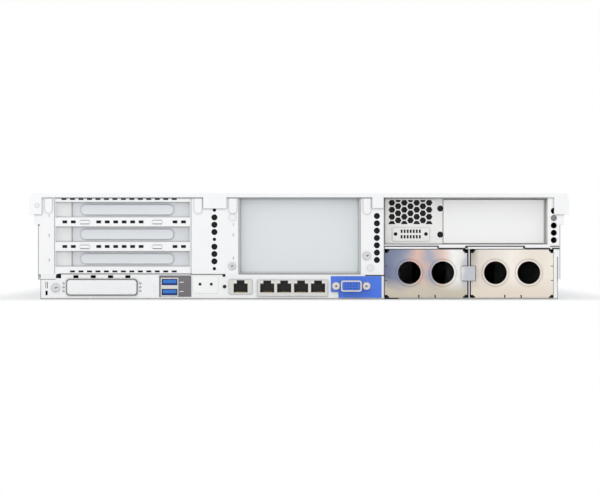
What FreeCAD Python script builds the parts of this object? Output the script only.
"""Two-unit rack server: rear face towards -Y, drives and rack ears towards +Y, resting on Z = 0.

Millimetres. The origin is at the middle of the bottom of the bounding box. Every size is a row of the
sheet; every place is an expression worked out from those rows, so pieces that meet share their values.
"""
import FreeCAD, Part
import math
import os
import re
import Sketcher
from FreeCAD import Rotation, Vector

doc = FreeCAD.newDocument("rack_server")
sheet = doc.addObject("Spreadsheet::Sheet", "Sizes")

SIZES = {
    # whole server
    "depth": 679.4,
    "height": 87.3,
    "ear_span": 482.6,
    "rack_hole_span": 465.1,
    "base_width": 427.2,
    "waist_step": 2.0,
    "shoulder_step": 3.0,
    "lid_gap": 2.6,
    "waist_low": 16.5,
    "shoulder_low": 61.4,
    "wall": 1.2,
    "plate": 1.0,
    "play": 0.3,
    "port_reach": 5.5,
    "flange": 9.0,
    # rear frame, from left to right
    "left_column": 14.4,
    "riser_width": 110.8,
    "centre_column": 40.8,
    "right_column": 20.3,
    "far_column": 10.2,
    "bay_side": 3.5,
    "window_top": 83.4,
    "io_height": 20.6,
    "hole_pitch": 6.05,
    "hole_size": 5.0,
    "pilot_size": 2.8,
    "centre_holes_drop": 9.8,
    "right_holes_side": 6.3,
    "right_holes_drop": 14.7,
    "far_holes_side": 4.9,
    "far_holes_drop": 10.4,
    # riser cage and slot covers
    "slot_pitch": 20.32,
    "slot_opening": 12.9,
    "top_slot_middle": 74.0,
    "slot_recess": 7.0,
    "cove_width": 13.3,
    "vent_pitch": 7.0,
    "vent_length": 4.0,
    "vent_height": 2.4,
    "vent_lead": 7.7,
    "cover_height": 18.4,
    "rib_length": 76.5,
    "rib_height": 8.0,
    "rib_rise": 1.6,
    "rib_inset": 7.2,
    "riser_depth": 215.0,
    "riser_board_depth": 170.0,
    "riser_board_setback": 12.0,
    "slot_socket_width": 11.0,
    "slot_socket_height": 7.4,
    "slot_socket_lead": 10.0,
    "slot_socket_length": 89.0,
    "riser_link_inset": 20.0,
    "riser_link_height": 8.0,
    # recessed panels
    "spare_recess": 8.0,
    "upper_low": 45.2,
    "upper_recess": 14.0,
    "hex_size": 5.2,
    "hex_pitch": 6.03,
    "hex_columns": 7,
    "hex_rows": 3,
    "hex_inset": 6.5,
    "hex_drop": 3.6,
    "bay_screw_size": 4.3,
    "bay_screw_side": 46.8,
    "bay_screw_high": 75.1,
    "bay_screw_low": 53.2,
    "serial_plate_width": 30.6,
    "serial_plate_height": 10.9,
    "serial_plate_inset": 7.0,
    "serial_plate_low": 48.1,
    "serial_slot_pitch": 2.48,
    "serial_slot_width": 1.6,
    "serial_slot_height": 2.4,
    "serial_screw_size": 2.5,
    "bay_blank_width": 83.4,
    "bay_blank_rise": 2.0,
    "bay_blank_side": 2.2,
    # power supplies
    "psu_width": 68.6,
    "psu_divide": 2.4,
    "psu_top": 41.3,
    "psu_step": 2.3,
    "psu_step_width": 44.0,
    "psu_depth": 315.0,
    "blank_depth": 55.0,
    "finger_hole": 18.9,
    "finger_ring": 21.8,
    "finger_pitch": 27.6,
    "finger_middle": 21.9,
    "clip_width": 10.7,
    "clip_height": 12.1,
    "clip_low": 15.2,
    "ring_rise": 0.7,
    # lower rear ports, placed from the riser window on the left and from the supply bays on the right
    "network_place": 38.3,
    "network_width": 60.0,
    "network_pad": 52.8,
    "network_low": 2.6,
    "network_high": 17.0,
    "network_pad_inset": 1.7,
    "network_groove": 1.2,
    "network_groove_depth": 0.8,
    "network_pad_rise": 0.6,
    "network_vent_pitch": 14.3,
    "network_vent_width": 4.2,
    "network_vent_height": 2.4,
    "network_vent_drop": 0.8,
    "panel_notch_width": 4.1,
    "panel_notch_side": 0.5,
    "panel_notch_drop": 3.3,
    "panel_slit_width": 1.8,
    "panel_slit_side": 8.3,
    "panel_slit_low": 3.3,
    "panel_slit_length": 3.7,
    "panel_slot_low": 9.0,
    "panel_slot_length": 5.3,
    "usb_share": 25.9 / 75.2,
    "usb_width": 14.6,
    "usb_height": 15.4,
    "usb_low": 2.3,
    "usb_mouth_width": 13.0,
    "usb_mouth_height": 5.3,
    "usb_mouth_pitch": 8.3,
    "usb_tongue_side": 1.0,
    "usb_tongue_drop": 0.8,
    "usb_tongue_thick": 1.8,
    "usb_tongue_setback": 1.5,
    "jack_mouth": 11.6,
    "jack_mouth_low": 5.4,
    "jack_mouth_height": 6.8,
    "jack_notch": 6.0,
    "jack_notch_rise": 2.6,
    "jack_depth": 14.0,
    "manage_place": 118.8,
    "manage_width": 18.8,
    "manage_low": 4.4,
    "manage_high": 16.1,
    "lan_place": 75.9,
    "lan_width": 57.9,
    "lan_low": 2.4,
    "lan_high": 15.8,
    "lan_pitch": 14.0,
    "port_body": 21.0,
    "port_proud": 0.5,
    "vga_place": 27.5,
    "vga_height": 10.9,
    "vga_flange_width": 30.8,
    "vga_flange_height": 12.4,
    "vga_shell_width": 16.3,
    "vga_shell_height": 8.3,
    "vga_slant": 0.7,
    "jackscrew_pitch": 24.99,
    # boards and what stands on them
    "board_low": 3.6,
    "board_thick": 1.6,
    "board_side": 4.6,
    "board_gap": 15.0,
    "standoff_size": 6.0,
    "socket_height": 8.0,
    "sink_width": 78.0,
    "sink_length": 108.0,
    "sink_base": 5.0,
    "sink_height": 60.0,
    "fin_count": 16,
    "fin_thick": 1.0,
    "sink_spacing": 134.0,
    "sink_setback": 21.0,
    "baffle_rear": 16.0,
    "baffle_front": 18.0,
    "dimm_length": 133.4,
    "dimm_height": 31.0,
    "dimm_thick": 4.0,
    "dimm_pitch": 9.4,
    # fans
    "fan_size": 80.0,
    "fan_depth": 38.0,
    "fan_count": 4,
    "fan_side": 16.4,
    "fan_bore": 76.0,
    "fan_gap": 49.2,
    "tray_reach": 6.0,
    "strut_width": 3.0,
    "motor_depth": 5.0,
    "rotor_setback": 4.0,
    "hub_size": 36.0,
    "blade_count": 7,
    "blade_chord": 17.0,
    "blade_lean": 9.0,
    "blade_thick": 1.6,
    "shaft_size": 4.0,
    # front
    "front_reach": 24.0,
    "ear_thick": 2.5,
    "ear_leg": 46.0,
    "ear_hole": 7.0,
    "ear_hole_low": 5.55,
    "ear_hole_rise": 76.2,
    "ear_leg_thick": 2.0,
    "bow_inset": 8.0,
    "bow_side": 1.0,
    "bow_width": 8.0,
    "hinge_out": 4.0,
    "hinge_size": 6.0,
    "hinge_low": 30.0,
    "hinge_rise": 26.0,
    "hinge_height": 4.0,
    "blade_reach": 11.0,
    "lever_blade_thick": 3.0,
    "drive_pitch": 17.0,
    "drive_bays": 8,
    "drive_bay_width": 16.0,
    "drive_bay_low": 4.2,
    "drive_bay_height": 77.2,
    "drive_cage_depth": 124.0,
    "carrier_depth": 108.0,
    "lever_low": 10.0,
    "lever_height": 64.0,
    "lever_thick": 4.0,
    "lever_pin": 2.0,
    "bezel_depth": 9.0,
    "bezel_proud": 5.0,
    "rail_height": 3.0,
    "drive_height": 70.0,
    "ear_plate": 1.4,
    "ear_half": 2.4,
    "carrier_window": 8.0,
    "carrier_window_height": 13.0,
    "carrier_window_low": 6.0,
    "carrier_window_pitch": 16.0,
    "lever_hole": 6.8,
    "lever_hole_height": 11.0,
    "grip_height": 8.0,
    "backplane_socket_side": 4.0,
    "backplane_socket_low": 20.0,
    "backplane_socket_height": 32.0,
    "backplane_socket_depth": 6.0,
    "grille_lead": 30.0,
    "grille_pitch": 13.0,
    "grille_slot": 8.0,
    "grille_low": 14.0,
    "grille_slot_height": 30.0,
    "grille_rise": 36.0,
    "grille_columns": 16,
    "button_place": 12.0,
    "button_high": 60.0,
    "button_proud": 2.0,
    "button_rim": 1.5,
    "button_size": 10.0,
    "tag_place": 120.0,
    "tag_lip": 2.0,
    "tag_lip_height": 6.0,
    "tag_width": 44.0,
    "tag_length": 70.0,
    "split_gap": 13.2,
    "lid_skirt": 8.6,
    "lip_height": 3.3,
    "corner_tab": 10.2,
    "corner_tab_proud": 1.5,
    "corner_tab_right": 12.2,
    "corner_tab_drop": 4.1,
    "centre_tab_place": 11.2,
    "centre_tab_width": 19.3,
    "centre_tab_height": 12.4,
    "right_tab_place": 10.1,
    "right_tab_width": 9.3,
    "right_tab_height": 12.2,
    # cover latch
    "latch_width": 40.0,
    "latch_length": 64.0,
    "latch_thick": 3.5,
    "latch_setback": 116.0,
    "latch_pan": 5.0,
    "latch_side": 2.0,
    "latch_nose": 3.0,
    "latch_heel": 4.0,
    "latch_grip_lead": 6.0,
    "latch_grip_length": 18.0,
    # screw heads and rail studs
    "thumb_size": 6.2,
    "thumb_high": 9.4,
    "head_rise": 1.3,
    "small_head": 5.0,
    "small_head_side": 5.6,
    "small_head_high": 27.3,
    "large_head": 5.8,
    "large_head_side": 5.5,
    "large_head_high": 35.9,
    "rivet_side": 8.6,
    "rivet_high": 25.9,
    "rivet_rise": 0.6,
    "jackscrew_size": 5.4,
    "stud_rear": 30.0,
    "stud_front": 61.4,
    "stud_count": 4,
    "stud_high": 31.7,
    "stud_neck": 3.5,
    "stud_head": 5.5,
    "stud_head_thick": 1.2,
}

# What follows from the sizes, written to the same sheet as formulas
FOLLOWING = {
    "waist_width": "base_width + 2 * waist_step",
    "shoulder_width": "waist_width + 2 * shoulder_step",
    "lid_width": "shoulder_width + 2 * lid_gap",
    "bays_start": "base_width / 2 - bay_side - 2 * psu_width - psu_divide",
    "riser_start": "left_column - waist_width / 2",
    "spare_width": "bays_start - right_column - riser_start - riser_width - centre_column",
    "network_middle": "riser_start + network_place",
    "manage_middle": "bays_start - manage_place",
    "network_end": "network_middle + network_width / 2",
    "manage_start": "manage_middle - manage_width / 2",
    "usb_middle": "network_end + usb_share * (manage_start - network_end)",
    "lan_middle": "bays_start - lan_place",
    "vga_middle": "bays_start - vga_place",
    "tub_front": "depth / 2 - front_reach - ear_thick",
    "cage_rear": "tub_front - drive_cage_depth",
    "fan_front": "cage_rear - fan_gap",
    "fan_pitch": "(base_width - 2 * wall - fan_size - 2 * fan_side) / (fan_count - 1)",
    "board_front": "fan_front - fan_depth - board_gap",
    "board_length": "board_front - port_reach + depth / 2 - wall",
    "sink_front": "board_front - sink_setback",
    "top_split": "cage_rear - split_gap",
    "latch_axis": "top_split - latch_setback",
}

NAMES = {**{alias: str(amount) for alias, amount in SIZES.items()},
         **{alias: f"={formula}" for alias, formula in FOLLOWING.items()}}
for row, (alias, entry) in enumerate(NAMES.items(), start=1):
    sheet.set(f"A{row}", alias)
    sheet.set(f"B{row}", entry)
    sheet.setAlias(f"B{row}", alias)
doc.recompute()

nodes = []


def bound(text):
    """Writes the sheet's name before each alias of an expression."""
    return re.sub(r"\b[a-z_]+\b", lambda word: "Sizes." + word[0] if word[0] in NAMES else word[0], str(text))


def number(text):
    """The present value of an expression."""
    return float(sheet.evalExpression(bound(text)))


def node(item, label):
    """Names a finished piece, which is written to a file of that name."""
    item.Label = label
    nodes.append(item)
    return item


def box(x, y, z):
    """A block between pairs of planes."""
    item = doc.addObject("Part::Box", "Block")
    for prop, axis, (low, high) in (("Length", "x", x), ("Width", "y", y), ("Height", "z", z)):
        item.setExpression(prop, bound(f"({high}) - ({low})"))
        item.setExpression("Placement.Base." + axis, bound(low))
    return item


TURNS = {"x": Rotation(Vector(0, 1, 0), 90), "y": Rotation(Vector(1, 0, 0), -90), "z": Rotation()}


def place_round(item, axis, at, low):
    """Turns a round solid onto its axis; at holds the two other coordinates in the order x, y, z."""
    item.Placement.Rotation = TURNS[axis]
    others = [letter for letter in "xyz" if letter != axis]
    item.setExpression("Placement.Base." + axis, bound(low))
    for letter, place in zip(others, at):
        item.setExpression("Placement.Base." + letter, bound(place))
    return item


def cylinder(axis, at, diameter, low, high):
    item = doc.addObject("Part::Cylinder", "Round")
    item.setExpression("Radius", bound(f"({diameter}) / 2"))
    item.setExpression("Height", bound(f"({high}) - ({low})"))
    return place_round(item, axis, at, low)


def hexagon(at, flats, low, high):
    """A six-sided bar along Y with two flats level."""
    item = doc.addObject("Part::Prism", "Hexagon")
    item.Polygon = 6
    item.setExpression("Circumradius", bound(f"({flats}) / sqrt(3)"))
    item.setExpression("Height", bound(f"({high}) - ({low})"))
    return place_round(item, "y", at, low)


def fuse(*parts):
    item = doc.addObject("Part::MultiFuse", "Joined")
    item.Shapes = list(parts)
    item.Refine = True
    return item


def group(parts):
    item = doc.addObject("Part::Compound", "Group")
    item.Links = list(parts)
    return item


def cut(base, tools):
    item = doc.addObject("Part::Cut", "Trimmed")
    item.Base = base
    item.Tool = tools[0] if len(tools) == 1 else group(tools)
    return item


def new_body(name):
    return doc.addObject("PartDesign::Body", name)


def sketch(body, role, offset, rings=(), circles=()):
    """Closed outlines on one of the body's origin planes, moved along its normal by an expression."""
    item = body.newObject("Sketcher::SketchObject", "Outline")
    plane = next(feature for feature in body.Origin.OriginFeatures if feature.Role == role)
    item.AttachmentSupport = [(plane, "")]
    item.MapMode = "FlatFace"
    item.setExpression("AttachmentOffset.Base.z", bound(offset))
    for ring in rings:
        points = [Vector(number(x), number(z), 0) for x, z in ring]
        first = item.GeometryCount
        lines = [Part.LineSegment(start, end) for start, end in zip(points, points[1:] + points[:1])]
        item.addGeometry(lines, False)
        for index, (x, z) in enumerate(ring):
            follower = first + (index + 1) % len(ring)
            item.addConstraint(Sketcher.Constraint("Coincident", first + index, 2, follower, 1))
        for index, (x, z) in enumerate(ring):
            for kind, text in (("DistanceX", x), ("DistanceY", z)):
                place = number(text)
                rule = item.addConstraint(Sketcher.Constraint(kind, -1, 1, first + index, 1, place))
                item.setExpression(f"Constraints[{rule}]", bound(text))
    for x, z, diameter in circles:
        middle = Vector(number(x), number(z), 0)
        circle = item.addGeometry(Part.Circle(middle, Vector(0, 0, 1), number(diameter) / 2), False)
        for kind, text in (("DistanceX", x), ("DistanceY", z)):
            rule = item.addConstraint(Sketcher.Constraint(kind, -1, 1, circle, 3, number(text)))
            item.setExpression(f"Constraints[{rule}]", bound(text))
        rule = item.addConstraint(Sketcher.Constraint("Diameter", circle, number(diameter)))
        item.setExpression(f"Constraints[{rule}]", bound(diameter))
    return item


def pad(body, profile, length):
    item = body.newObject("PartDesign::Pad", "Pad")
    item.Profile = profile
    item.setExpression("Length", bound(length))
    return item


def rectangle(x, z):
    (left, right), (low, high) = x, z
    return [(left, low), (right, low), (right, high), (left, high)]


def sheet_body(name, rear, thickness, rings, circles=()):
    """A sheet standing across the server: its outline, with windows as inner rings, padded forwards."""
    body = new_body(name)
    front = f"({rear}) + {thickness}"
    pad(body, sketch(body, "XZ_Plane", f"-({front})", rings, circles), thickness)
    return body


def mirrored(points):
    """An outline from its right half, listed from the middle outwards and back."""
    return points + [(f"-({x})", z) for x, z in reversed(points)]


# Planes and lines that several pieces share
REAR = "(port_reach - depth / 2)"
REAR_IN = f"({REAR} + wall)"
LID_REAR = f"({REAR} - play - plate)"
EAR_FRONT = "(depth / 2 - front_reach)"
TUB_FRONT = "tub_front"
LID_LOW = "(height - plate)"
FLOOR = "wall"
BOARD_TOP = "(board_low + board_thick)"
RISER = "riser_start"
CENTRE = f"({RISER} + riser_width)"
SPARE = f"({CENTRE} + centre_column)"
RIGHT = f"({SPARE} + spare_width)"
BAYS = f"({RIGHT} + right_column)"
BAYS_END = f"({BAYS} + 2 * psu_width + psu_divide)"
UPPER_END = "(waist_width / 2 - far_column)"
SLOT_PLANE = f"({REAR_IN} + slot_recess)"
DRIVES_END = "(base_width / 2 - wall)"
DRIVES = f"({DRIVES_END} - drive_bays * drive_pitch - plate)"
CAGE_REAR = "cage_rear"


def chassis_tub():
    """One folded sheet: floor, stepped side walls and top flanges turned inwards, with board standoffs."""
    right = [
        ("base_width / 2", "0"),
        ("base_width / 2", "waist_low"),
        ("waist_width / 2", "waist_low"),
        ("waist_width / 2", "shoulder_low"),
        ("shoulder_width / 2", "shoulder_low"),
        ("shoulder_width / 2", LID_LOW),
        ("shoulder_width / 2 - flange", LID_LOW),
        ("shoulder_width / 2 - flange", f"{LID_LOW} - wall"),
        ("shoulder_width / 2 - wall", f"{LID_LOW} - wall"),
        ("shoulder_width / 2 - wall", "shoulder_low + wall"),
        ("waist_width / 2 - wall", "shoulder_low + wall"),
        ("waist_width / 2 - wall", "waist_low + wall"),
        ("base_width / 2 - wall", "waist_low + wall"),
        ("base_width / 2 - wall", FLOOR),
    ]
    body = new_body("TubSection")
    profile = sketch(body, "XZ_Plane", f"-{TUB_FRONT}", [mirrored(right)])
    pad(body, profile, f"{TUB_FRONT} - {REAR_IN}")
    left = "-(base_width / 2 - wall - board_side - flange)"
    right_side = f"{BAYS} - plate - 2 * flange"
    rear = f"{REAR_IN} + port_body + 2 * flange"
    front = f"{REAR_IN} + board_length - flange"
    standoffs = [
        cylinder("z", (x, y), "standoff_size", "wall / 2", "board_low")
        for x in (left, f"({left} + {right_side}) / 2", right_side)
        for y in (rear, f"({rear} + {front}) / 2", front)
    ]
    node(fuse(body, *standoffs), "chassis_tub")


def rear_frame():
    """The rear wall above the port panel: columns with rows of vent holes round five windows."""
    outline = [
        (f"{BAYS} - plate", "0"),
        ("base_width / 2", "0"),
        ("base_width / 2", "waist_low"),
        ("waist_width / 2", "waist_low"),
        ("waist_width / 2", "shoulder_low"),
        ("shoulder_width / 2", "shoulder_low"),
        ("shoulder_width / 2", f"{LID_LOW}"),
        ("-shoulder_width / 2", f"{LID_LOW}"),
        ("-shoulder_width / 2", "shoulder_low"),
        ("-waist_width / 2", "shoulder_low"),
        ("-waist_width / 2", "io_height"),
        (f"{BAYS} - plate", "io_height"),
    ]
    step_end = "psu_step_width"
    second = f"{BAYS} + psu_width + psu_divide"
    psu_window = [
        (BAYS, FLOOR),
        (BAYS_END, FLOOR),
        (BAYS_END, "psu_top"),
        (f"{second} + {step_end}", "psu_top"),
        (f"{second} + {step_end}", "psu_top + psu_step"),
        (f"{second} - psu_divide", "psu_top + psu_step"),
        (f"{second} - psu_divide", "psu_top"),
        (f"{BAYS} + {step_end}", "psu_top"),
        (f"{BAYS} + {step_end}", "psu_top + psu_step"),
        (BAYS, "psu_top + psu_step"),
    ]
    windows = [
        rectangle((RISER, CENTRE), ("io_height + plate", "window_top")),
        rectangle((SPARE, RIGHT), ("io_height + plate", "window_top")),
        rectangle((BAYS, UPPER_END), ("upper_low", "window_top")),
        psu_window,
    ]
    body = sheet_body("RearFrame", REAR, "wall", [outline] + windows)
    columns = [
        (f"{CENTRE} + centre_column / 2", "window_top - centre_holes_drop", 9, (0, 4, 8)),
        (f"{BAYS} - right_holes_side", "window_top - right_holes_drop", 7, ()),
        (f"{UPPER_END} + far_holes_side", "window_top - far_holes_drop", 5, ()),
    ]
    holes = []
    for x, top, count, pilots in columns:
        for index in range(count):
            diameter = "pilot_size" if index in pilots else "hole_size"
            at = (x, f"{top} - {index} * hole_pitch")
            holes.append(cylinder("y", at, diameter, f"{REAR} - 1", f"{REAR_IN} + 1"))
    node(cut(body, holes), "rear_frame")


def riser_cage():
    """The primary riser's carrier: vented channel bars between the slots, a curved end, side and roof."""
    vents = []
    middle = "top_slot_middle"
    edges = ["window_top"]
    for slot in range(3):
        edges += [f"{middle} - {slot} * slot_pitch + slot_opening / 2",
                  f"{middle} - {slot} * slot_pitch - slot_opening / 2"]
    edges.append("io_height + plate")
    bars = []
    for high, low in zip(edges[::2], edges[1::2]):
        outer = box((RISER, CENTRE), (REAR, SLOT_PLANE), (low, high))
        inner = box((RISER, f"{CENTRE} - plate"), (REAR_IN, f"{SLOT_PLANE} + 1"),
                    (f"{low} + plate", f"{high} - plate"))
        bars.append(cut(outer, [inner]))
    first = f"{RISER} + vent_lead"
    rows = [(edges[2], edges[3]), (edges[4], edges[5])]
    for upper, lower in rows:
        for index in (0, 1, 4, 5, 6, 7, 8, 9, 13, 14):
            x = f"{first} + {index} * vent_pitch"
            z = f"(({upper}) + ({lower})) / 2"
            vents.append(box((f"{x} - vent_length / 2", f"{x} + vent_length / 2"),
                             (f"{REAR} - 1", f"{REAR_IN} + 0.5"),
                             (f"{z} - vent_height / 2", f"{z} + vent_height / 2")))
    vented = cut(fuse(*bars), vents)
    low = "io_height + plate"
    cove_end = f"{RISER} + cove_width"
    run = "(cove_width - plate / 2)"
    radius = f"(({run} ^ 2 + slot_recess ^ 2) / (2 * slot_recess))"
    middle = (cove_end, f"{SLOT_PLANE} - {radius}")
    shell = cut(
        cylinder("z", middle, f"2 * ({radius} + plate)", f"{low} + plate / 2", "window_top - plate / 2"),
        [cylinder("z", middle, f"2 * {radius}", low, "window_top")],
    )
    cove = doc.addObject("Part::Common", "Cove")
    cove.Base = shell
    cove.Tool = box((f"{RISER} - 2 * plate", cove_end), (REAR_IN, f"{SLOT_PLANE} + 2 * plate"), (low, "window_top"))
    far = f"{REAR_IN} + riser_depth"
    roof_low = f"{LID_LOW} - 3 * play - plate"
    side = box((CENTRE, f"{CENTRE} + plate"), (REAR_IN, far), (low, roof_low))
    roof = box((RISER, f"{CENTRE} + plate"), (REAR_IN, far), (roof_low, f"{LID_LOW} - 3 * play"))
    hanger = box((RISER, CENTRE), (REAR_IN, f"{REAR_IN} + plate"), ("window_top", roof_low))
    cage = fuse(vented, cove, side, roof, hanger)
    cage.Refine = False
    node(cage, "riser_cage")


def slot_covers():
    """Three plates behind the slots, each with a long round-ended rib pressed outwards."""
    for slot in range(3):
        middle = f"(top_slot_middle - {slot} * slot_pitch)"
        plate = box((f"{RISER} + cove_width", CENTRE), (SLOT_PLANE, f"{SLOT_PLANE} + plate"),
                    (f"{middle} - cover_height / 2", f"{middle} + cover_height / 2"))
        left = f"{RISER} + cove_width + rib_inset"
        right = f"({left} + rib_length)"
        rear = f"{SLOT_PLANE} - rib_rise"
        body = box((f"{left} + rib_height / 2", f"{right} - rib_height / 2"), (rear, f"{SLOT_PLANE} + plate"),
                   (f"{middle} - rib_height / 2", f"{middle} + rib_height / 2"))
        ends = [cylinder("y", (x, middle), "rib_height", rear, f"{SLOT_PLANE} + plate")
                for x in (f"{left} + rib_height / 2", f"{right} - rib_height / 2")]
        node(fuse(plate, body, *ends), f"slot_cover_{slot + 1}")


def pan(x, z, rear, recess, extra=()):
    """A shallow tray let into a window: rim against the frame, floor set forwards by the recess."""
    outer = box((f"{x[0]} - plate", f"{x[1]} + plate"), (rear, f"{rear} + {recess} + plate"),
                (f"{z[0]} - plate", f"{z[1]} + plate"))
    inner = box(x, (f"{rear} - 1", f"{rear} + {recess}"), z)
    return cut(outer, [inner, *extra])


def recessed_panels():
    tray = pan((f"{SPARE} + 2 * play", f"{RIGHT} - 2 * play"), ("io_height + plate", "window_top - play"),
               REAR_IN, "spare_recess")
    node(tray, "spare_riser_blank")
    floor = f"({REAR_IN} + upper_recess)"
    through = (f"{floor} - 1", f"{floor} + plate + 1")
    cells = []
    for column in range(int(number("hex_columns"))):
        rows = number("hex_rows") + column % 2
        for row in range(int(rows)):
            x = f"{BAYS} + hex_inset + {column} * hex_pitch * sqrt(3) / 2"
            z = f"window_top - hex_drop - ({row} + {(1 - column % 2) / 2}) * hex_pitch"
            cells.append(hexagon((x, z), "hex_size", *through))
    screws = [cylinder("y", (f"{BAYS} + bay_screw_side", z), "bay_screw_size", *through)
              for z in ("bay_screw_high", "bay_screw_low")]
    node(pan((BAYS, UPPER_END), ("upper_low", "window_top"), REAR_IN, "upper_recess", cells + screws),
         "rear_upper_panel")
    left = f"{BAYS} + serial_plate_inset"
    plate = box((left, f"{left} + serial_plate_width"), (f"{floor} - plate", floor),
                ("serial_plate_low", "serial_plate_low + serial_plate_height"))
    slots = []
    for row in (0.33, 0.68):
        for column in range(7):
            x = f"{left} + serial_plate_width / 2 + ({column} - 3) * serial_slot_pitch"
            z = f"serial_plate_low + {row} * serial_plate_height"
            slots.append(box((f"{x} - serial_slot_width / 2", f"{x} + serial_slot_width / 2"),
                             (f"{floor} - 3", f"{floor} - plate / 3"),
                             (f"{z} - serial_slot_height / 2", f"{z} + serial_slot_height / 2")))
    for side in (-1, 1):
        at = (f"{left} + serial_plate_width / 2 + {side} * jackscrew_pitch / 2",
              "serial_plate_low + serial_plate_height / 2")
        slots.append(cylinder("y", at, "serial_screw_size", f"{floor} - 3", f"{floor} - plate / 3"))
    node(cut(plate, slots), "serial_port_blank")
    right = f"{UPPER_END} - bay_blank_side"
    blank = pan((f"{right} - bay_blank_width + plate", f"{right} - plate"),
                ("upper_low + 2 * plate", "window_top - 2 * plate"), f"{floor} - bay_blank_rise - plate", "0")
    core = box((f"{right} - bay_blank_width", right), (f"{floor} - bay_blank_rise", floor),
               ("upper_low + plate", "window_top - plate"))
    node(fuse(blank, core), "rear_bay_blank")


def psu_cage():
    """Two open bays side by side: walls, roof with turned-up tongues, and a sprung clip on the divider."""
    far = f"{REAR_IN} + psu_depth"
    second = f"{BAYS} + psu_width + psu_divide"
    divider = f"({BAYS} + psu_width + psu_divide / 2)"
    y = (REAR_IN, far)
    walls = [
        box((f"{BAYS} - plate", BAYS), y, (FLOOR, "psu_top")),
        box((f"{divider} - plate / 2", f"{divider} + plate / 2"), (REAR, far), (FLOOR, "psu_top")),
        box((BAYS_END, f"{BAYS_END} + plate"), y, (FLOOR, "psu_top")),
        box((f"{BAYS} - plate", f"{BAYS_END} + plate"), y, ("psu_top", "psu_top + plate")),
    ]
    for start in (BAYS, f"{second} - psu_divide"):
        end = f"{BAYS} + psu_step_width" if start == BAYS else f"{second} + psu_step_width"
        walls.append(box((f"{start} + play", f"{end} - play"), (REAR, REAR_IN),
                         ("psu_top + play", "psu_top + psu_step - play")))
        walls.append(box((f"{start} + play", f"{end} - play"), (REAR_IN, f"{REAR_IN} + plate"),
                         ("psu_top", "psu_top + psu_step")))
    bump = cylinder("z", (divider, f"{REAR} + clip_width"), "2 * clip_width + 2 * plate", "clip_low",
                    "clip_low + clip_height")
    bow = doc.addObject("Part::Common", "Clip")
    bow.Base = bump
    bow.Tool = box((f"{divider} - clip_width / 2", f"{divider} + clip_width / 2"),
                   (f"{REAR} - plate", f"{REAR} + plate"), ("clip_low", "clip_low + clip_height"))
    node(fuse(*walls, bow), "psu_cage")


def psu_blanks():
    """Filler boxes for the supply bays, open inside, each with two finger holes with a rolled edge."""
    for bay in range(2):
        start = f"({BAYS} + {bay} * (psu_width + psu_divide))"
        left, right = f"{start} + play", f"{start} + psu_width - play"
        rear = f"{REAR} - play"
        outer = box((left, right), (rear, f"{REAR} + blank_depth"), (FLOOR, "psu_top - play"))
        inner = box((f"{left} + plate", f"{right} - plate"), (f"{rear} + plate", f"{REAR} + blank_depth + 1"),
                    (f"{FLOOR} + plate", "psu_top - play - plate"))
        middle = f"{start} + psu_width / 2"
        places = [(f"{middle} + {side} * finger_pitch / 2", "finger_middle") for side in (-1, 1)]
        holes = [cylinder("y", at, "finger_hole", f"{rear} - 2", f"{rear} + 3") for at in places]
        rolls = [cylinder("y", at, "finger_ring", f"{rear} - ring_rise", f"{rear} + plate + ring_rise") for at in places]
        divider = f"({BAYS} + psu_width + psu_divide / 2)"
        notch = box((f"{divider} - clip_width / 2 - play", f"{divider} + clip_width / 2 + play"),
                    (f"{rear} - 1", f"{REAR} + blank_depth + 1"),
                    ("clip_low - play", "clip_low + clip_height + play"))
        shell = cut(outer, [inner])
        node(cut(fuse(shell, *rolls), [*holes, notch]), f"psu_blank_{bay + 1}")


def jack_cavity(middle):
    """Mouth of an eight-way jack: square opening with a narrower notch for the latch above it."""
    y = (f"{REAR} - port_proud - 1", f"{REAR} - port_proud + jack_depth")
    mouth = box((f"{middle} - jack_mouth / 2", f"{middle} + jack_mouth / 2"), y,
                ("jack_mouth_low", "jack_mouth_low + jack_mouth_height"))
    notch = box((f"{middle} - jack_notch / 2", f"{middle} + jack_notch / 2"), y,
                ("jack_mouth_low + 1", "jack_mouth_low + jack_mouth_height + jack_notch_rise"))
    return [mouth, notch]


PORTS = {
    "usb_ports": ("usb_middle", "usb_width", "usb_low", "usb_low + usb_height"),
    "management_lan_port": ("manage_middle", "manage_width", "manage_low", "manage_high"),
    "lan_port_block": ("lan_middle", "lan_width", "lan_low", "lan_high"),
}


def port_span(middle, width, spare="0"):
    return f"{middle} - {width} / 2 - {spare}", f"{middle} + {width} / 2 + {spare}"


def port_block(label, cavities):
    middle, width, low, high = PORTS[label]
    block = box(port_span(middle, width), (f"{REAR} - port_proud", f"{REAR_IN} + port_body"), (low, high))
    return cut(block, cavities)


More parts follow.
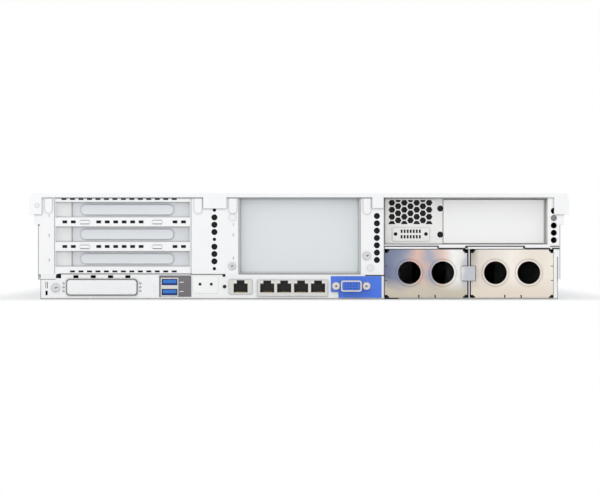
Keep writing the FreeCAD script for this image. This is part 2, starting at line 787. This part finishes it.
def rear_ports():
    """Connectors sunk into notches of the system board, their mouths through the port panel."""
    tongues, mouths = [], []
    for level in range(2):
        low = f"usb_low + (usb_height - usb_mouth_pitch - usb_mouth_height) / 2 + {level} * usb_mouth_pitch"
        y = (f"{REAR} - port_proud - 1", f"{REAR} - port_proud + jack_depth")
        mouths.append(box(port_span("usb_middle", "usb_mouth_width"), y, (low, f"{low} + usb_mouth_height")))
        top = f"{low} + usb_mouth_height - usb_tongue_drop"
        tongues.append(box(port_span("usb_middle", "(usb_mouth_width - 2 * usb_tongue_side)"),
                           (f"{REAR} + usb_tongue_setback", f"{REAR} - port_proud + jack_depth"),
                           (f"{top} - usb_tongue_thick", top)))
    node(fuse(port_block("usb_ports", mouths), *tongues), "usb_ports")
    node(port_block("management_lan_port", jack_cavity("manage_middle")), "management_lan_port")
    cavities = []
    for place in range(4):
        cavities += jack_cavity(f"(lan_middle + ({place} - 1.5) * lan_pitch)")
    node(port_block("lan_port_block", cavities), "lan_port_block")
    half, tall = "vga_shell_width / 2", "vga_shell_height / 2"
    ring = [
        (f"vga_middle - {half} + vga_slant", f"vga_height - {tall}"),
        (f"vga_middle + {half} - vga_slant", f"vga_height - {tall}"),
        (f"vga_middle + {half}", f"vga_height + {tall}"),
        (f"vga_middle - {half}", f"vga_height + {tall}"),
    ]
    shell = sheet_body("VgaShell", f"{REAR} - port_reach", "port_reach", [ring])
    flange = box(port_span("vga_middle", "vga_flange_width"), (REAR, REAR_IN),
                 ("vga_height - vga_flange_height / 2", "vga_height + vga_flange_height / 2"))
    body = box(port_span("vga_middle", "vga_flange_width"), (REAR_IN, f"{REAR_IN} + port_body"),
               ("vga_height - vga_flange_height / 2", "vga_height + vga_flange_height / 2"))
    node(fuse(shell, flange, body), "vga_port")


def rear_io_panel():
    """The lower rear sheet, cut out for each port and for the network-module blank."""
    y = (f"{REAR} - 1", f"{REAR_IN} + 1")
    tools = [box(port_span(middle, width), y, (low, high)) for middle, width, low, high in PORTS.values()]
    tools.append(box(port_span("vga_middle", "vga_flange_width"), y,
                     ("vga_height - vga_flange_height / 2", "vga_height + vga_flange_height / 2")))
    tools.append(box(port_span("network_middle", "network_width"), y, ("network_low", "network_high")))
    notch = f"({RISER} + panel_notch_side)"
    tools.append(box((notch, f"{notch} + panel_notch_width"), y, ("io_height - panel_notch_drop", "io_height + 1")))
    slit = f"({RISER} - panel_slit_side)"
    for low, length in (("panel_slot_low", "panel_slot_length"), ("panel_slit_low", "panel_slit_length")):
        tools.append(box((slit, f"{slit} + panel_slit_width"), y, (low, f"{low} + {length}")))
    vent_top = "(io_height - network_vent_drop)"
    for column in range(4):
        x = f"network_middle + ({column} - 1.5) * network_vent_pitch"
        tools.append(box((f"{x} - network_vent_width / 2", f"{x} + network_vent_width / 2"), y,
                         (f"{vent_top} - network_vent_height", vent_top)))
    plate = box(("-base_width / 2", f"{BAYS} - plate"), (REAR, REAR_IN), ("0", "io_height"))
    node(cut(plate, tools), "rear_io_panel")
    pad_low, pad_high = "network_low + network_pad_inset", "network_high - network_pad_inset"
    blank = box(port_span("network_middle", "network_width"), (REAR, f"{REAR_IN} + plate"),
                ("network_low", "network_high"))
    groove = box(port_span("network_middle", "network_pad", "network_groove"),
                 (f"{REAR} - 1", f"{REAR} + network_groove_depth"),
                 (f"{pad_low} - network_groove", f"{pad_high} + network_groove"))
    raised = box(port_span("network_middle", "network_pad"), (f"{REAR} - network_pad_rise", REAR_IN),
                 (pad_low, pad_high))
    node(fuse(cut(blank, [groove]), raised), "network_module_blank")


def boards():
    """System board with notches for the ports, sockets with finned heatsinks, memory and riser board."""
    left = "-(base_width / 2 - wall - board_side)"
    right = f"{BAYS} - 2 * plate - board_side"
    board = box((left, right), (REAR_IN, f"{REAR_IN} + board_length"), ("board_low", BOARD_TOP))
    y = (f"{REAR_IN} - 1", f"{REAR_IN} + port_body")
    notches = [box(port_span(middle, width), y, ("board_low - 1", f"{BOARD_TOP} + 1"))
               for middle, width, low, high in PORTS.values()]
    notches.append(box(port_span("vga_middle", "vga_flange_width"), y, ("board_low - 1", f"{BOARD_TOP} + 1")))
    notches.append(box(port_span("network_middle", "network_width", "2 * play"),
                       (f"{REAR_IN} - 1", f"{REAR_IN} + plate + play"), ("board_low - 1", f"{BOARD_TOP} + 1")))
    node(cut(board, notches), "system_board")
    middle = f"(({left}) + ({right})) / 2"
    sinks = []
    for side in (-1, 1):
        x = f"({middle} + {side} * sink_spacing / 2)"
        base_low = f"({BOARD_TOP} + socket_height)"
        across = (f"{x} - sink_width / 2", f"{x} + sink_width / 2")
        along = ("sink_front - sink_length", "sink_front")
        solid = box(across, along, (base_low, f"{base_low} + sink_height"))
        socket = box((f"{x} - sink_width / 3", f"{x} + sink_width / 3"),
                     ("sink_front - sink_length * 0.8", "sink_front - sink_length * 0.2"), (BOARD_TOP, base_low))
        step = "(sink_width - fin_thick) / (fin_count - 1)"
        gaps = [box((f"{across[0]} + {fin} * {step} + fin_thick", f"{across[0]} + {fin + 1} * {step}"),
                    ("sink_front - sink_length - 1", "sink_front + 1"),
                    (f"{base_low} + sink_base", f"{base_low} + sink_height + 1"))
                for fin in range(int(number("fin_count")) - 1)]
        sinks.append(fuse(cut(solid, gaps), socket))
    node(group(sinks), "cpu_heatsinks")
    outer = int(number(f"(({right}) - ({left}) - sink_spacing - sink_width) / 2 / dimm_pitch"))
    inner = int(number("(sink_spacing - sink_width) / dimm_pitch"))
    y = ("sink_front - sink_length / 2 - dimm_length / 2", "sink_front - sink_length / 2 + dimm_length / 2")
    modules = []
    for side, count in ((-1, outer), (0, inner), (1, outer)):
        for place in range(count):
            bank = f"{side} * (sink_spacing + sink_width + {outer} * dimm_pitch) / 2"
            x = f"({middle} + {bank} + ({place} - {(count - 1) / 2}) * dimm_pitch)"
            socket = box((f"{x} - dimm_thick / 2 - plate", f"{x} + dimm_thick / 2 + plate"), y,
                         (BOARD_TOP, f"{BOARD_TOP} + socket_height"))
            card = box((f"{x} - dimm_thick / 4", f"{x} + dimm_thick / 4"),
                       (f"{y[0]} + 2 * plate", f"{y[1]} - 2 * plate"),
                       (f"{BOARD_TOP} + socket_height", f"{BOARD_TOP} + dimm_height"))
            modules.append(fuse(socket, card))
    node(group(modules), "memory_modules")
    card_right = f"({CENTRE} - 1)"
    rear = f"({SLOT_PLANE} + plate + riser_board_setback)"
    card = box((f"{card_right} - board_thick", card_right), (rear, f"{rear} + riser_board_depth"),
               (BOARD_TOP, "window_top - 2 * plate"))
    connectors = []
    for slot in range(3):
        z = f"(top_slot_middle - {slot} * slot_pitch)"
        connectors.append(box((f"{card_right} - board_thick - slot_socket_width", f"{card_right} - board_thick"),
                              (f"{rear} + slot_socket_lead", f"{rear} + slot_socket_lead + slot_socket_length"),
                              (f"{z} - slot_socket_height / 2", f"{z} + slot_socket_height / 2")))
    link = box((card_right, CENTRE),
               (f"{rear} + riser_link_inset", f"{rear} + riser_board_depth - riser_link_inset"),
               ("(window_top - riser_link_height) / 2", "(window_top + riser_link_height) / 2"))
    node(fuse(card, link, *connectors), "riser_board")


def air_baffle():
    """Moulded duct over the processors, open to the fans in front and to the cards behind."""
    left = "-(base_width / 2 - wall - board_side)"
    right = f"{BAYS} - 2 * plate - board_side"
    y = ("sink_front - sink_length - baffle_rear", "sink_front + baffle_front")
    top = f"{BOARD_TOP} + socket_height + sink_height + 2 * play"
    outer = box((left, right), y, (BOARD_TOP, f"{top} + 2 * plate"))
    inner = box((f"{left} + 1.5 * plate", f"{right} - 1.5 * plate"), (f"{y[0]} - 1", f"{y[1]} + 1"),
                (f"{BOARD_TOP} - 1", top))
    node(cut(outer, [inner]), "air_baffle")


def fan_centres():
    return [f"(({index} - (fan_count - 1) / 2) * fan_pitch)" for index in range(int(number("fan_count")))]


def fan_tray():
    """Sheet cradle across the tub: floor and a wall with a round opening for each fan."""
    side = "base_width / 2 - wall"
    across = (f"-({side})", side)
    floor = box(across, ("fan_front - fan_depth - tray_reach", "fan_front + plate"), (FLOOR, f"{FLOOR} + plate"))
    back = box(across, ("fan_front", "fan_front + plate"), (FLOOR, f"{FLOOR} + plate + fan_size"))
    middle = f"{FLOOR} + plate + fan_size / 2"
    holes = [cylinder("y", (x, middle), "fan_bore", "fan_front - 1", "fan_front + plate + 1")
             for x in fan_centres()]
    node(cut(fuse(floor, back), holes), "fan_tray")


def fans():
    """Square housings with a strutted motor base, and rotors of hub, shaft and pitched blades."""
    middle = f"({FLOOR} + plate + fan_size / 2)"
    rear = "(fan_front - fan_depth)"
    housings = []
    for x in fan_centres():
        frame = box((f"{x} - fan_size / 2", f"{x} + fan_size / 2"), (rear, "fan_front"),
                    (f"{FLOOR} + plate", f"{FLOOR} + plate + fan_size"))
        bore = cylinder("y", (x, middle), "fan_bore", f"{rear} - 1", "fan_front + 1")
        motor = cylinder("y", (x, middle), "hub_size", rear, f"{rear} + motor_depth")
        half, reach, depth = "strut_width / 2", "(fan_bore / 2 + 1)", (rear, f"{rear} + strut_width")
        struts = [
            box((f"{x} - {reach}", f"{x} + {reach}"), depth, (f"{middle} - {half}", f"{middle} + {half}")),
            box((f"{x} - {half}", f"{x} + {half}"), depth, (f"{middle} - {reach}", f"{middle} + {reach}")),
        ]
        bearing = cylinder("y", (x, middle), "shaft_size + play / 2", f"{rear} + 1", f"{rear} + motor_depth + 1")
        housings.append(cut(fuse(cut(frame, [bore]), motor, *struts), [bearing]))
    node(group(housings), "fan_housings")
    for index, x in enumerate(fan_centres()):
        body = new_body("Rotor")
        hub = sketch(body, "XZ_Plane", "-(fan_depth - rotor_setback)", circles=[("0", "0", "hub_size - 2 * play")])
        pad(body, hub, "fan_depth - rotor_setback - motor_depth - play")
        half, lean = "(blade_chord / 2)", "(blade_lean / 2)"
        mid = "(fan_depth / 2 + 1)"
        blade = sketch(body, "XY_Plane", "hub_size / 2 - 3", [[
            (f"-{lean} - blade_thick / 2", f"{mid} - {half}"),
            (f"-{lean} + blade_thick / 2", f"{mid} - {half}"),
            (f"{lean} + blade_thick / 2", f"{mid} + {half}"),
            (f"{lean} - blade_thick / 2", f"{mid} + {half}"),
        ]])
        vane = pad(body, blade, "(fan_bore - hub_size) / 2 + 3 - 4 * play")
        doc.recompute()
        axis = next(feature for feature in body.Origin.OriginFeatures if feature.Role == "Y_Axis")
        ring = body.newObject("PartDesign::PolarPattern", "Blades")
        ring.Originals = [vane]
        ring.Axis = (axis, [""])
        ring.Angle = 360
        ring.setExpression("Occurrences", bound("blade_count"))
        body.Tip = ring
        rotor = fuse(body, cylinder("y", ("0", "0"), "shaft_size", "1", "2 * motor_depth"))
        rotor.setExpression("Placement.Base.x", bound(x))
        rotor.setExpression("Placement.Base.y", bound(rear))
        rotor.setExpression("Placement.Base.z", bound(middle))
        node(rotor, f"fan_rotor_{index + 1}")


def drive_bay_left(index):
    return f"({DRIVES} + plate + {index} * drive_pitch)"


def drive_cage():
    """Open-fronted cage with one upright bay for each drive, and the backplane across its inner end."""
    high = "drive_bay_low + drive_bay_height"
    block = box((DRIVES, DRIVES_END), (CAGE_REAR, TUB_FRONT), (FLOOR, f"{high} + plate"))
    bays = [box((drive_bay_left(index), f"{drive_bay_left(index)} + drive_bay_width"),
                (f"{CAGE_REAR} - 1", f"{TUB_FRONT} + 1"), ("drive_bay_low", high))
            for index in range(int(number("drive_bays")))]
    node(cut(block, bays), "drive_cage")
    board = box((DRIVES, DRIVES_END), (f"{CAGE_REAR} - board_thick", CAGE_REAR),
                ("drive_bay_low", high))
    socket_low = "(drive_bay_low + backplane_socket_low)"
    sockets = [box((f"{drive_bay_left(index)} + backplane_socket_side",
                    f"{drive_bay_left(index)} + drive_bay_width - backplane_socket_side"),
                   (CAGE_REAR, f"{CAGE_REAR} + backplane_socket_depth"),
                   (socket_low, f"{socket_low} + backplane_socket_height"))
               for index in range(int(number("drive_bays")))]
    node(fuse(board, *sockets), "drive_backplane")


def drive_carriers():
    """Carriers with their drives, each with a lever on a pin between two ears at the foot of its face."""
    for index in range(int(number("drive_bays"))):
        left = f"({drive_bay_left(index)} + play / 2)"
        right = f"({drive_bay_left(index)} + drive_bay_width - play / 2)"
        middle = f"({drive_bay_left(index)} + drive_bay_width / 2)"
        face = f"({TUB_FRONT} + bezel_proud)"
        bezel_rear = f"({face} - bezel_depth)"
        bezel = box((left, right), (bezel_rear, face), ("drive_bay_low", "drive_bay_low + drive_bay_height - play"))
        rail_rear = f"({TUB_FRONT} - carrier_depth)"
        rail_top = "(drive_bay_low + rail_height)"
        rails = box((left, right), (rail_rear, bezel_rear), ("drive_bay_low", rail_top))
        drive = box((f"{left} + play", f"{right} - play"), (f"{rail_rear} + rail_height", f"{bezel_rear} - 2 * plate"),
                    (rail_top, f"{rail_top} + drive_height"))
        windows = []
        for place in range(3):
            low = f"(drive_bay_low + lever_low + carrier_window_low + {place} * carrier_window_pitch)"
            windows.append(box((f"{middle} - carrier_window / 2", f"{middle} + carrier_window / 2"),
                               (f"{face} - 2 * plate", f"{face} + 1"), (low, f"{low} + carrier_window_height")))
        pin_z = "(drive_bay_low + lever_low)"
        pin_y = f"({face} + lever_thick / 2 + play)"
        inner_left, inner_right = f"{left} + ear_plate", f"{right} - ear_plate"
        ears = [box(pair, (face, f"{face} + lever_thick + play"), (f"{pin_z} - ear_half", f"{pin_z} + ear_half"))
                for pair in ((left, inner_left), (inner_right, right))]
        hole = cylinder("x", (pin_y, pin_z), "lever_pin + play / 2", f"{left} - 1", f"{right} + 1")
        node(cut(fuse(bezel, rails, drive, *ears), [hole, *windows]), f"drive_carrier_{index + 1}")
        across = (f"{inner_left} + play / 2", f"{inner_right} - play / 2")
        arm = box(across, (f"{face} + play", f"{face} + play + lever_thick"), (pin_z, f"{pin_z} + lever_height"))
        knuckle = cylinder("x", (pin_y, pin_z), "lever_thick", *across)
        pin = cylinder("x", (pin_y, pin_z), "lever_pin", left, right)
        grip_top = f"({pin_z} + lever_height - lever_thick)"
        grip = box((f"{middle} - carrier_window / 2", f"{middle} + carrier_window / 2"),
                   (f"{face} + play - 1", f"{face} + play + lever_thick - ear_plate"),
                   (f"{grip_top} - grip_height", grip_top))
        holes = []
        for place in range(3):
            low = f"({pin_z} + carrier_window_low + 1 + {place} * carrier_window_pitch)"
            holes.append(box((f"{middle} - lever_hole / 2", f"{middle} + lever_hole / 2"),
                             (f"{face} - 1", f"{face} + lever_thick + 2"), (low, f"{low} + lever_hole_height")))
        node(cut(fuse(arm, knuckle, pin), [grip, *holes]), f"drive_lever_{index + 1}")


def front_pieces():
    """Front grille beside the drives, button, pull-out tag and rack ears with their release levers."""
    left = "-(base_width / 2 - wall)"
    y = (f"{TUB_FRONT} - 2 * plate", TUB_FRONT)
    top = f"{LID_LOW} - wall"
    plate = box((left, DRIVES), y, (FLOOR, top))
    tools = []
    for column in range(int(number("grille_columns"))):
        for row in range(2):
            x = f"({left} + grille_lead + {column} * grille_pitch)"
            low = f"(grille_low + {row} * grille_rise)"
            tools.append(box((f"{x} - grille_slot / 2", f"{x} + grille_slot / 2"), (f"{y[0]} - 1", f"{y[1]} + 1"),
                             (low, f"{low} + grille_slot_height")))
    button_at = (f"{left} + button_place", "button_high")
    tools.append(cylinder("y", button_at, "button_size + play", f"{y[0]} - 1", f"{y[1]} + 1"))
    tag_middle = f"({left} + tag_place)"
    tools.append(box((f"{tag_middle} - tag_width / 2 - play", f"{tag_middle} + tag_width / 2 + play"),
                     (f"{y[0]} - 1", f"{y[1]} + 1"), (f"{FLOOR} - 1", f"{FLOOR} + plate + play")))
    node(cut(plate, tools), "front_panel")
    button = fuse(cylinder("y", button_at, "button_size", f"{y[0]} - plate", f"{TUB_FRONT} + button_proud"),
                  cylinder("y", button_at, "button_size + 2 * button_rim", f"{y[0]} - button_rim", y[0]))
    node(button, "power_button")
    across = (f"{tag_middle} - tag_width / 2", f"{tag_middle} + tag_width / 2")
    lip_front = f"{TUB_FRONT} + play + tag_lip"
    card = box(across, (f"{TUB_FRONT} - tag_length", lip_front), (FLOOR, f"{FLOOR} + plate"))
    lip = box(across, (f"{TUB_FRONT} + play", lip_front), (FLOOR, f"{FLOOR} + tag_lip_height"))
    node(fuse(card, lip), "pull_tag")
    for name, side in (("left", 1), ("right", -1)):
        ear(name, side)


def both(side, low, high):
    """A span on the +X side, or its mirror image."""
    return (low, high) if side > 0 else (f"-({high})", f"-({low})")


def ear(name, side):
    """Angle bracket with two rack holes and a bow handle; a thumb lever turns on its inner edge."""
    flange = box(both(side, "base_width / 2 - wall", "ear_span / 2"), (TUB_FRONT, EAR_FRONT),
                 ("plate", "height - plate"))
    leg = box(both(side, "waist_width / 2", "waist_width / 2 + ear_leg_thick"), (f"{TUB_FRONT} - ear_leg", TUB_FRONT),
              ("waist_low + plate", "shoulder_low - plate"))
    holes = [cylinder("y", (f"{side} * rack_hole_span / 2", z), "ear_hole", f"{TUB_FRONT} - 1", f"{EAR_FRONT} + 1")
             for z in ("ear_hole_low", "ear_hole_low + ear_hole_rise")]
    low, high = "ear_hole_low + bow_inset", "ear_hole_low + ear_hole_rise - bow_inset"
    inner, outer = "rack_hole_span / 2 - bow_side", "rack_hole_span / 2 - bow_side + bow_width"
    bow = cut(box(both(side, inner, outer), (EAR_FRONT, "depth / 2"), (low, high)),
              [box(both(side, f"{inner} - 1", f"{outer} + 1"), (EAR_FRONT, "depth / 2 - bow_width"),
                   (f"{low} + bow_width", f"{high} - bow_width"))])
    hinge = "base_width / 2 + hinge_out"
    hinge_x, hinge_y = f"({side} * ({hinge}))", f"({EAR_FRONT} + hinge_height)"
    barrel_low, barrel_high = "hinge_low + hinge_height", "hinge_low + hinge_rise"
    steps = (("hinge_low", barrel_low), (barrel_high, f"{barrel_high} + hinge_height"))
    knuckles = [cylinder("z", (hinge_x, hinge_y), "hinge_size", *step) for step in steps]
    feet = [box(both(side, f"{hinge} - hinge_size / 2", f"{hinge} + hinge_size / 2"), (EAR_FRONT, hinge_y), step)
            for step in steps]
    bore = cylinder("z", (hinge_x, hinge_y), "lever_pin + play / 2", "hinge_low - 1",
                    f"{barrel_high} + hinge_height + 1")
    node(cut(fuse(flange, leg, bow, *knuckles, *feet), holes + [bore]), f"{name}_ear")
    barrel = cylinder("z", (hinge_x, hinge_y), "hinge_size", barrel_low, barrel_high)
    pin = cylinder("z", (hinge_x, hinge_y), "lever_pin", "hinge_low", f"{barrel_high} + hinge_height")
    blade = box(both(side, hinge, f"{hinge} + blade_reach"),
                (f"{hinge_y} - lever_blade_thick / 2", f"{hinge_y} + lever_blade_thick / 2"),
                (f"{barrel_low} + play", f"{barrel_high} - play"))
    node(fuse(barrel, pin, blade), f"{name}_release_lever")


def cover_section(name, rear, front):
    """Folded cover: top sheet with a skirt down each side, padded between two planes."""
    right = [
        ("lid_width / 2", "shoulder_low + lid_skirt"),
        ("lid_width / 2", "height"),
    ]
    inner = [
        ("lid_width / 2 - plate", LID_LOW),
        ("lid_width / 2 - plate", "shoulder_low + lid_skirt"),
    ]
    left = [(f"-({x})", z) for x, z in reversed(right)]
    left_inner = [(f"-({x})", z) for x, z in reversed(inner)]
    body = new_body(name)
    profile = sketch(body, "XZ_Plane", f"-({front})", [right + left + left_inner + inner])
    pad(body, profile, f"({front}) - ({rear})")
    return body


def covers():
    """Sliding cover with rear lip and tabs and a sunk latch pan; the fixed cover over the drives."""
    section = cover_section("CoverSection", LID_REAR, "top_split")
    y = (LID_REAR, f"{LID_REAR} + plate")
    lip = box(("-lid_width / 2", "lid_width / 2"), y, ("height - lip_height", "height"))
    left_edge, right_edge = "-lid_width / 2 - corner_tab_proud", "lid_width / 2 + corner_tab_proud"
    left_end, right_start = f"{left_edge} + corner_tab", f"{right_edge} - corner_tab_right"
    low_part, high_part = ("shoulder_low + lid_skirt", "height - corner_tab_drop"), ("height - 5 * plate", "height")
    centre_tab, right_tab = f"{CENTRE} + centre_tab_place", f"{BAYS} - right_tab_place"
    tabs = [
        box((left_edge, left_end), y, low_part),
        box((right_start, right_edge), y, low_part),
        box(("-lid_width / 2", left_end), y, high_part),
        box((right_start, "lid_width / 2"), y, high_part),
        box((centre_tab, f"{centre_tab} + centre_tab_width"), y, ("height - centre_tab_height", "height")),
        box((right_tab, f"{right_tab} + right_tab_width"), y, ("height - right_tab_height", "height")),
    ]
    half = "latch_width / 2 + latch_side"
    axis = "latch_axis"
    span = (f"{axis} - latch_length - latch_nose", f"{axis} + latch_heel")
    outer = box((f"-({half} + plate)", f"{half} + plate"), (f"{span[0]} - plate", f"{span[1]} + plate"),
                ("height - latch_pan - plate", "height"))
    inner = box((f"-({half})", half), span, ("height - latch_pan", "height + 1"))
    node(cut(fuse(section, lip, *tabs, outer), [inner]), "top_cover")
    axis_z = "height - latch_thick / 2 - play"
    plate_x = ("-latch_width / 2", "latch_width / 2")
    arm = box(plate_x, (f"{axis} - latch_length", axis),
              (f"{axis_z} - latch_thick / 2", f"{axis_z} + latch_thick / 2"))
    barrel = cylinder("x", (axis, axis_z), "latch_thick", *plate_x)
    pin = cylinder("x", (axis, axis_z), "lever_pin", f"-({half})", half)
    grip_start = f"{axis} - latch_length + latch_grip_lead"
    grip = box(("-latch_width / 4", "latch_width / 4"), (grip_start, f"{grip_start} + latch_grip_length"),
               ("height - 2 * latch_pan", "height + 1"))
    node(cut(fuse(arm, barrel, pin), [grip]), "cover_latch")
    node(cover_section("FrontCoverSection", "top_split + play", TUB_FRONT), "front_top_cover")


def fasteners():
    """Heads on the rear wall: thumbscrew, screws, rivet and jackscrews; shoulder studs on the sides."""
    heads = [
        (RISER, "thumb_high", "thumb_size", "head_rise"),
        (f"{SPARE} - small_head_side", "small_head_high", "small_head", "head_rise"),
        (f"{RIGHT} + large_head_side", "large_head_high", "large_head", "head_rise"),
        (f"{RIGHT} + rivet_side", "rivet_high", "small_head", "rivet_rise"),
        ("vga_middle - jackscrew_pitch / 2", "vga_height", "jackscrew_size", "port_reach"),
        ("vga_middle + jackscrew_pitch / 2", "vga_height", "jackscrew_size", "port_reach"),
    ]
    screws = [cylinder("y", (x, z), diameter, f"{REAR} - {rise}", REAR) for x, z, diameter, rise in heads]
    node(group(screws), "panel_screws")
    first, last = f"({REAR} + stud_rear)", f"({TUB_FRONT} - ear_leg - stud_front)"
    neck_end = "waist_width / 2 + plate"
    studs = []
    for side in (-1, 1):
        for place in range(int(number("stud_count"))):
            at = (f"{first} + {place} * ({last} - {first}) / (stud_count - 1)", "stud_high")
            neck = cylinder("x", at, "stud_neck", *both(side, "waist_width / 2", neck_end))
            head = cylinder("x", at, "stud_head", *both(side, neck_end, f"{neck_end} + stud_head_thick"))
            studs.append(fuse(neck, head))
    node(group(studs), "rail_studs")


chassis_tub()
rear_frame()
riser_cage()
slot_covers()
recessed_panels()
psu_cage()
psu_blanks()
rear_ports()
rear_io_panel()
boards()
air_baffle()
fan_tray()
fans()
drive_cage()
drive_carriers()
front_pieces()
covers()
fasteners()
doc.recompute()

for item in doc.Objects:
    if "Invalid" in item.State or "Error" in item.State:
        raise SystemExit(f"{item.Label} ({item.Name}) did not build: {item.State}")
os.makedirs("parts", exist_ok=True)
for item in nodes:
    if item.Shape.isNull() or not item.Shape.isValid() or not item.Shape.Solids:
        raise SystemExit(f"{item.Label} has no valid solid")
    item.Shape.exportStep(f"parts/{item.Label}.step")
whole = Part.makeCompound([item.Shape for item in nodes]).BoundBox
print(f"{len(nodes)} pieces; x {whole.XMin:.2f} to {whole.XMax:.2f}, y {whole.YMin:.2f} to {whole.YMax:.2f}, "
      f"z {whole.ZMin:.2f} to {whole.ZMax:.2f}")
